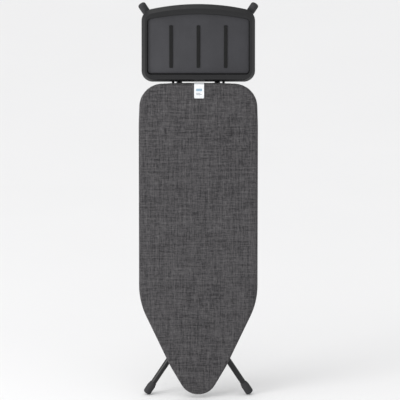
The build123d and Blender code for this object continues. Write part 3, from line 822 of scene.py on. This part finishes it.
class MakeLabel(bpy.types.Operator):
    """Plain woven label, sewn to the cover and folded over its edge"""

    bl_idname = "ironing_board.make_label"
    bl_label = "Label"
    bl_options = {"UNDO"}

    def execute(self, context):
        cloth = bpy.data.objects["cover_cloth"]
        middle = (LABEL_LOW.x + LABEL_HIGH.x) / 2
        width = LABEL_HIGH.x - LABEL_LOW.x
        # Heights, and depths in millimetres, from the lower edge and over the cover's edge.
        profile = [(LABEL_LOW.z, -0.75), (LABEL_LOW.z + 20 * MM, -0.8)]
        top = COVER_HIGH.z
        for inset, depth, _ in reversed(COVER_PROFILE[4:13]):
            profile.append((top - (inset - LABEL_CLEARANCE) * MM, depth - LABEL_CLEARANCE))
        columns = LABEL_COLUMNS
        vertices, faces = [], []
        for z, depth in profile:
            for k in range(columns + 1):
                share = k / columns
                curl = LABEL_CURL * math.sin(share * 9.0 + z * 300)
                x = middle + (share - 0.5) * width
                y = COVER_LOW.y + depth * MM
                met, place, _, _ = cloth.ray_cast(Vector((x, -1.0, z)), Vector((0, 1, 0)))
                if met:
                    y = min(y, place.y - LABEL_GAP)
                vertices.append((x, y - 0.1 * MM + curl, z))
        for row in range(len(profile) - 1):
            for k in range(columns):
                a = row * (columns + 1) + k
                b = a + columns + 1
                faces.append((a, a + 1, b + 1, b))
        mesh = bpy.data.meshes.new("label_ribbon")
        mesh.from_pydata(vertices, [], faces)
        label = new_piece("label_ribbon", mesh)
        apply_modifier(label, "SUBSURF", levels=2, render_levels=2)
        apply_modifier(label, "SOLIDIFY", thickness=LABEL_THICKNESS, offset=0.0)
        shade(label, 50)
        dress(label, woven_label("label_ribbon", LABEL_LOW, LABEL_HIGH))
        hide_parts("cover_label")
        return {"FINISHED"}


# ------------------------------------------------------------------ holder and fittings

# Nodes that get moulded or rolled edges, with the width of the edge and its steps.
MOULDED_EDGES = {
    "holder_tray": (2.6, 4),
    "holder_plate": (0.5, 2),
    "rest_strip_left": (0.5, 2),
    "rest_strip_middle": (0.5, 2),
    "rest_strip_right": (0.5, 2),
    "holder_clips": (1.2, 3),
    "frame_clips": (1.2, 3),
    "latch_grip": (1.0, 3),
    "glide_shoe_left": (0.6, 2),
    "glide_shoe_right": (0.6, 2),
}
SPRING_WIRE = 0.8 * MM
SPRING_POINTS = 12
# Section of the dark ring that paints shade into the groove round the heat plate: outwards
# from the plate's edge and behind its face, in millimetres.
GROOVE_SHADE_SECTION = ((0.15, 2.0), (0.15, 0.9), (0.9, 0.45), (2.0, 0.45), (2.85, 0.9), (2.85, 2.0))
BODY_OF_NODE = {"latch_grip": "latch", "glide_shoe_left": "slide", "glide_shoe_right": "slide"}


def slot_of(node):
    """Material slot that the record gives a node."""
    for part in frame["record"]["subparts"]:
        if part["node"] == node:
            return part["material_slot"]
    raise ValueError(f"no slot for {node}")


def finish_for(slot):
    """The finish of a material slot, made once."""
    shades = colours()
    makers = {
        "black_steel": lambda name: powder_coat(name, shades.steel_coat),
        "zinc_steel": lambda name: plated_steel(name, (0.55, 0.56, 0.58)),
        "spring_steel": lambda name: plated_steel(name, (0.33, 0.33, 0.34), roughness=0.34),
        "black_plastic": lambda name: moulded_plastic(name, shades.plastic),
        "heat_plate": lambda name: moulded_plastic(
            name, scaled(shades.plastic, 4.6), grain=0.8 * MM, roughness=0.6, specular=0.4
        ),
        "rest_silicone": lambda name: soft_rubber(
            name, scaled(shades.rubber, 0.06), roughness=0.75
        ),
        "foot_rubber": lambda name: soft_rubber(name, shades.rubber),
        "white_nylon": lambda name: moulded_plastic(name, (0.72, 0.72, 0.69), roughness=0.45),
    }
    name = slot + "_finish"
    return bpy.data.materials.get(name) or makers[slot](name)


class MakePaintedGrooveShade(bpy.types.Operator):
    """Dark ring in the groove round the heat plate, painted shade where the groove lies in shadow
    """

    bl_idname = "ironing_board.make_plate_seal"
    bl_label = "Painted groove shade"
    bl_options = {"UNDO"}

    def execute(self, context):
        loop = front_loop("holder_plate")
        count = len(loop)
        rows = len(GROOVE_SHADE_SECTION)
        vertices, faces = [], []
        for row, (out, depth) in enumerate(GROOVE_SHADE_SECTION):
            for i, point in enumerate(loop):
                place = point + outward(loop[i - 1], loop[(i + 1) % count]) * out * MM
                vertices.append((place.x, PLATE_LOW.y + depth * MM, place.y))
            faces += band(row * count, (row + 1) % rows * count, count)
        mesh = bpy.data.meshes.new("painted_groove_shade")
        mesh.from_pydata(vertices, [], faces)
        shade_ring = new_piece("painted_groove_shade", mesh)
        face_out(shade_ring)
        shade(shade_ring, 60)
        # Near-black finish on the ring: painted shade in the groove round the plate.
        dress(shade_ring, finish_for("rest_silicone"))
        return {"FINISHED"}


class MakeHolder(bpy.types.Operator):
    """Steam-unit holder, clips and other mouldings with their rounded edges"""

    bl_idname = "ironing_board.make_holder"
    bl_label = "Holder and mouldings"
    bl_options = {"UNDO"}

    def execute(self, context):
        for node, (width, steps) in MOULDED_EDGES.items():
            piece = soften(node, width * MM, steps)
            slot = slot_of(node)
            dress(piece, finish_for(slot), BODY_OF_NODE.get(node, "board"))
        return {"FINISHED"}


class MakeSpring(bpy.types.Operator):
    """Torsion spring on the latch's pin"""

    bl_idname = "ironing_board.make_spring"
    bl_label = "Latch spring"
    bl_options = {"UNDO"}

    def execute(self, context):
        wire = SPRING_WIRE
        middle = (SPRING_LOW + SPRING_HIGH) / 2
        radius = (SPRING_HIGH.z - SPRING_LOW.z) / 2 - wire
        length = SPRING_HIGH.x - SPRING_LOW.x - 2 * wire
        steps = SPRING_POINTS * sizes().spring_turns
        places = []
        for k in range(steps + 1):
            turn = math.tau * k / SPRING_POINTS
            x = middle.x - length / 2 + length * k / steps
            places.append(
                (x, middle.y + radius * math.sin(turn), middle.z + radius * math.cos(turn))
            )
        line = bpy.data.curves.new("latch_coil", "CURVE")
        line.dimensions = "3D"
        line.bevel_depth = wire
        line.bevel_resolution = 3
        line.resolution_u = 4
        line.use_fill_caps = True
        spline = line.splines.new("NURBS")
        spline.points.add(len(places) - 1)
        for point, place in zip(spline.points, places):
            point.co = (*place, 1)
        spline.order_u = 3
        spline.use_endpoint_u = True
        coil = new_piece("latch_coil", line)
        choose(coil)
        bpy.ops.object.convert(target="MESH")
        coil = bpy.context.view_layer.objects.active
        shade(coil, 60)
        dress(coil, finish_for("spring_steel"))
        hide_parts("latch_spring")
        return {"FINISHED"}


class FinishFrame(bpy.types.Operator):
    """Finishes on the steel, rubber and nylon parts that keep their shape"""

    bl_idname = "ironing_board.finish_frame"
    bl_label = "Frame finishes"
    bl_options = {"UNDO"}

    def execute(self, context):
        for node, thing in frame["nodes"].items():
            if thing.hide_render:
                continue
            finish = finish_for(slot_of(node))
            for place in thing.material_slots:
                place.material = finish
            if not thing.material_slots:
                thing.data.materials.append(finish)
        return {"FINISHED"}


# ------------------------------------------------------------------ studio

FLOOR_SIZE = 240
SKY_STRENGTH = 0.8
SUN_FROM, SUN_STRENGTH, SUN_ANGLE = (-0.35, -0.3, 0.9), 0.68, math.radians(55)
SOFT_LIGHT_PLACE, SOFT_LIGHT_SIZE, SOFT_LIGHT_WATTS = (-4.6, -3.2, 1.6), 2.6, 170
LIGHT_AIM = (0, 0, 0.8)
CAMERA_ELEVATION = 15.0
CAMERA_DISTANCE = 60.0
CAMERA_LENS = 1402.6
CAMERA_AIM = (6.5 * MM, 0.0, 0.782)


class MakeStage(bpy.types.Operator):
    """Pale seamless floor, soft lights and the camera"""

    bl_idname = "ironing_board.make_stage"
    bl_label = "Studio"
    bl_options = {"UNDO"}

    def execute(self, context):
        scene = bpy.context.scene
        scene.view_settings.view_transform = "Standard"
        scene.view_settings.look = "None"
        scene.view_settings.exposure = 0.0
        scene.view_settings.gamma = 1.0
        bpy.ops.object.select_all(action="DESELECT")
        bpy.ops.mesh.primitive_plane_add(size=FLOOR_SIZE, location=(0, 0, -0.5 * MM))
        floor = bpy.context.view_layer.objects.active
        floor.name = "studio_floor"
        floor.data.materials.append(studio_paper("studio_paper", colours().backdrop))
        world = bpy.data.worlds.new("studio")
        scene.world = world
        world.use_nodes = True
        sky = world.node_tree.nodes["Background"]
        sky.inputs["Color"].default_value = (1.0, 1.0, 1.0, 1)
        sky.inputs["Strength"].default_value = SKY_STRENGTH
        self.sun("high_sun", SUN_FROM, SUN_STRENGTH)
        self.light("soft_left", SOFT_LIGHT_PLACE, SOFT_LIGHT_SIZE, SOFT_LIGHT_WATTS)
        eye = bpy.data.cameras.new("studio_camera")
        eye.lens = CAMERA_LENS
        eye.sensor_width = 36
        eye.clip_end = 300
        camera = bpy.data.objects.new("studio_camera", eye)
        scene.collection.objects.link(camera)
        tilt = math.radians(CAMERA_ELEVATION)
        away = Vector((0, -math.cos(tilt), math.sin(tilt))) * CAMERA_DISTANCE
        camera.location = Vector(CAMERA_AIM) + away
        camera.rotation_euler = (math.pi / 2 - tilt, 0, 0)
        scene.camera = camera
        return {"FINISHED"}

    def sun(self, name, direction, strength):
        """Wide, even light from far away."""
        lamp = bpy.data.lights.new(name, "SUN")
        lamp.energy = strength
        lamp.angle = SUN_ANGLE
        lit = bpy.data.objects.new(name, lamp)
        bpy.context.scene.collection.objects.link(lit)
        lit.rotation_euler = (-Vector(direction)).to_track_quat("-Z", "Y").to_euler()

    def light(self, name, place, size, watts):
        """Square soft light, turned to the middle of the board."""
        lamp = bpy.data.lights.new(name, "AREA")
        lamp.size = size
        lamp.energy = watts
        lit = bpy.data.objects.new(name, lamp)
        bpy.context.scene.collection.objects.link(lit)
        lit.location = place
        towards = Vector(LIGHT_AIM) - Vector(place)
        lit.rotation_euler = towards.to_track_quat("-Z", "Y").to_euler()


# ------------------------------------------------------------------ panel and start

STEPS = (
    MakeStage,
    MakeCover,
    MakePad,
    MakeMeshSheet,
    MakeLabel,
    MakeHolder,
    MakePaintedGrooveShade,
    MakeSpring,
    FinishFrame,
)


class BoardPanel(bpy.types.Panel):
    """Ironing board's steps in the sidebar"""

    bl_idname = "VIEW3D_PT_ironing_board"
    bl_label = "Ironing board"
    bl_space_type = "VIEW_3D"
    bl_region_type = "UI"
    bl_category = "Ironing board"

    def draw(self, context):
        layout = self.layout
        for group in (context.scene.ironing_board_sizes, context.scene.ironing_board_colours):
            column = layout.column(align=True)
            for name in group.bl_rna.properties.keys():
                if name not in ("rna_type", "name"):
                    column.prop(group, name)
        steps = layout.column(align=True)
        for step in STEPS:
            steps.operator(step.bl_idname)


CLASSES = (BoardSizes, BoardColours, *STEPS, BoardPanel)


def register():
    for kind in CLASSES:
        bpy.utils.register_class(kind)
    bpy.types.Scene.ironing_board_sizes = bpy.props.PointerProperty(type=BoardSizes)
    bpy.types.Scene.ironing_board_colours = bpy.props.PointerProperty(type=BoardColours)


def unregister():
    del bpy.types.Scene.ironing_board_colours
    del bpy.types.Scene.ironing_board_sizes
    for kind in reversed(CLASSES):
        bpy.utils.unregister_class(kind)


def main():
    register()
    bpy.ops.ironing_board.make_stage()
    bpy.ops.ironing_board.make_cover()
    bpy.ops.ironing_board.make_pad()
    bpy.ops.ironing_board.make_mesh_sheet()
    bpy.ops.ironing_board.make_label()
    bpy.ops.ironing_board.make_holder()
    # Ring of painted shade in the groove round the heat plate.
    bpy.ops.ironing_board.make_plate_seal()
    bpy.ops.ironing_board.make_spring()
    bpy.ops.ironing_board.finish_frame()


if __name__ == "__main__":
    main()
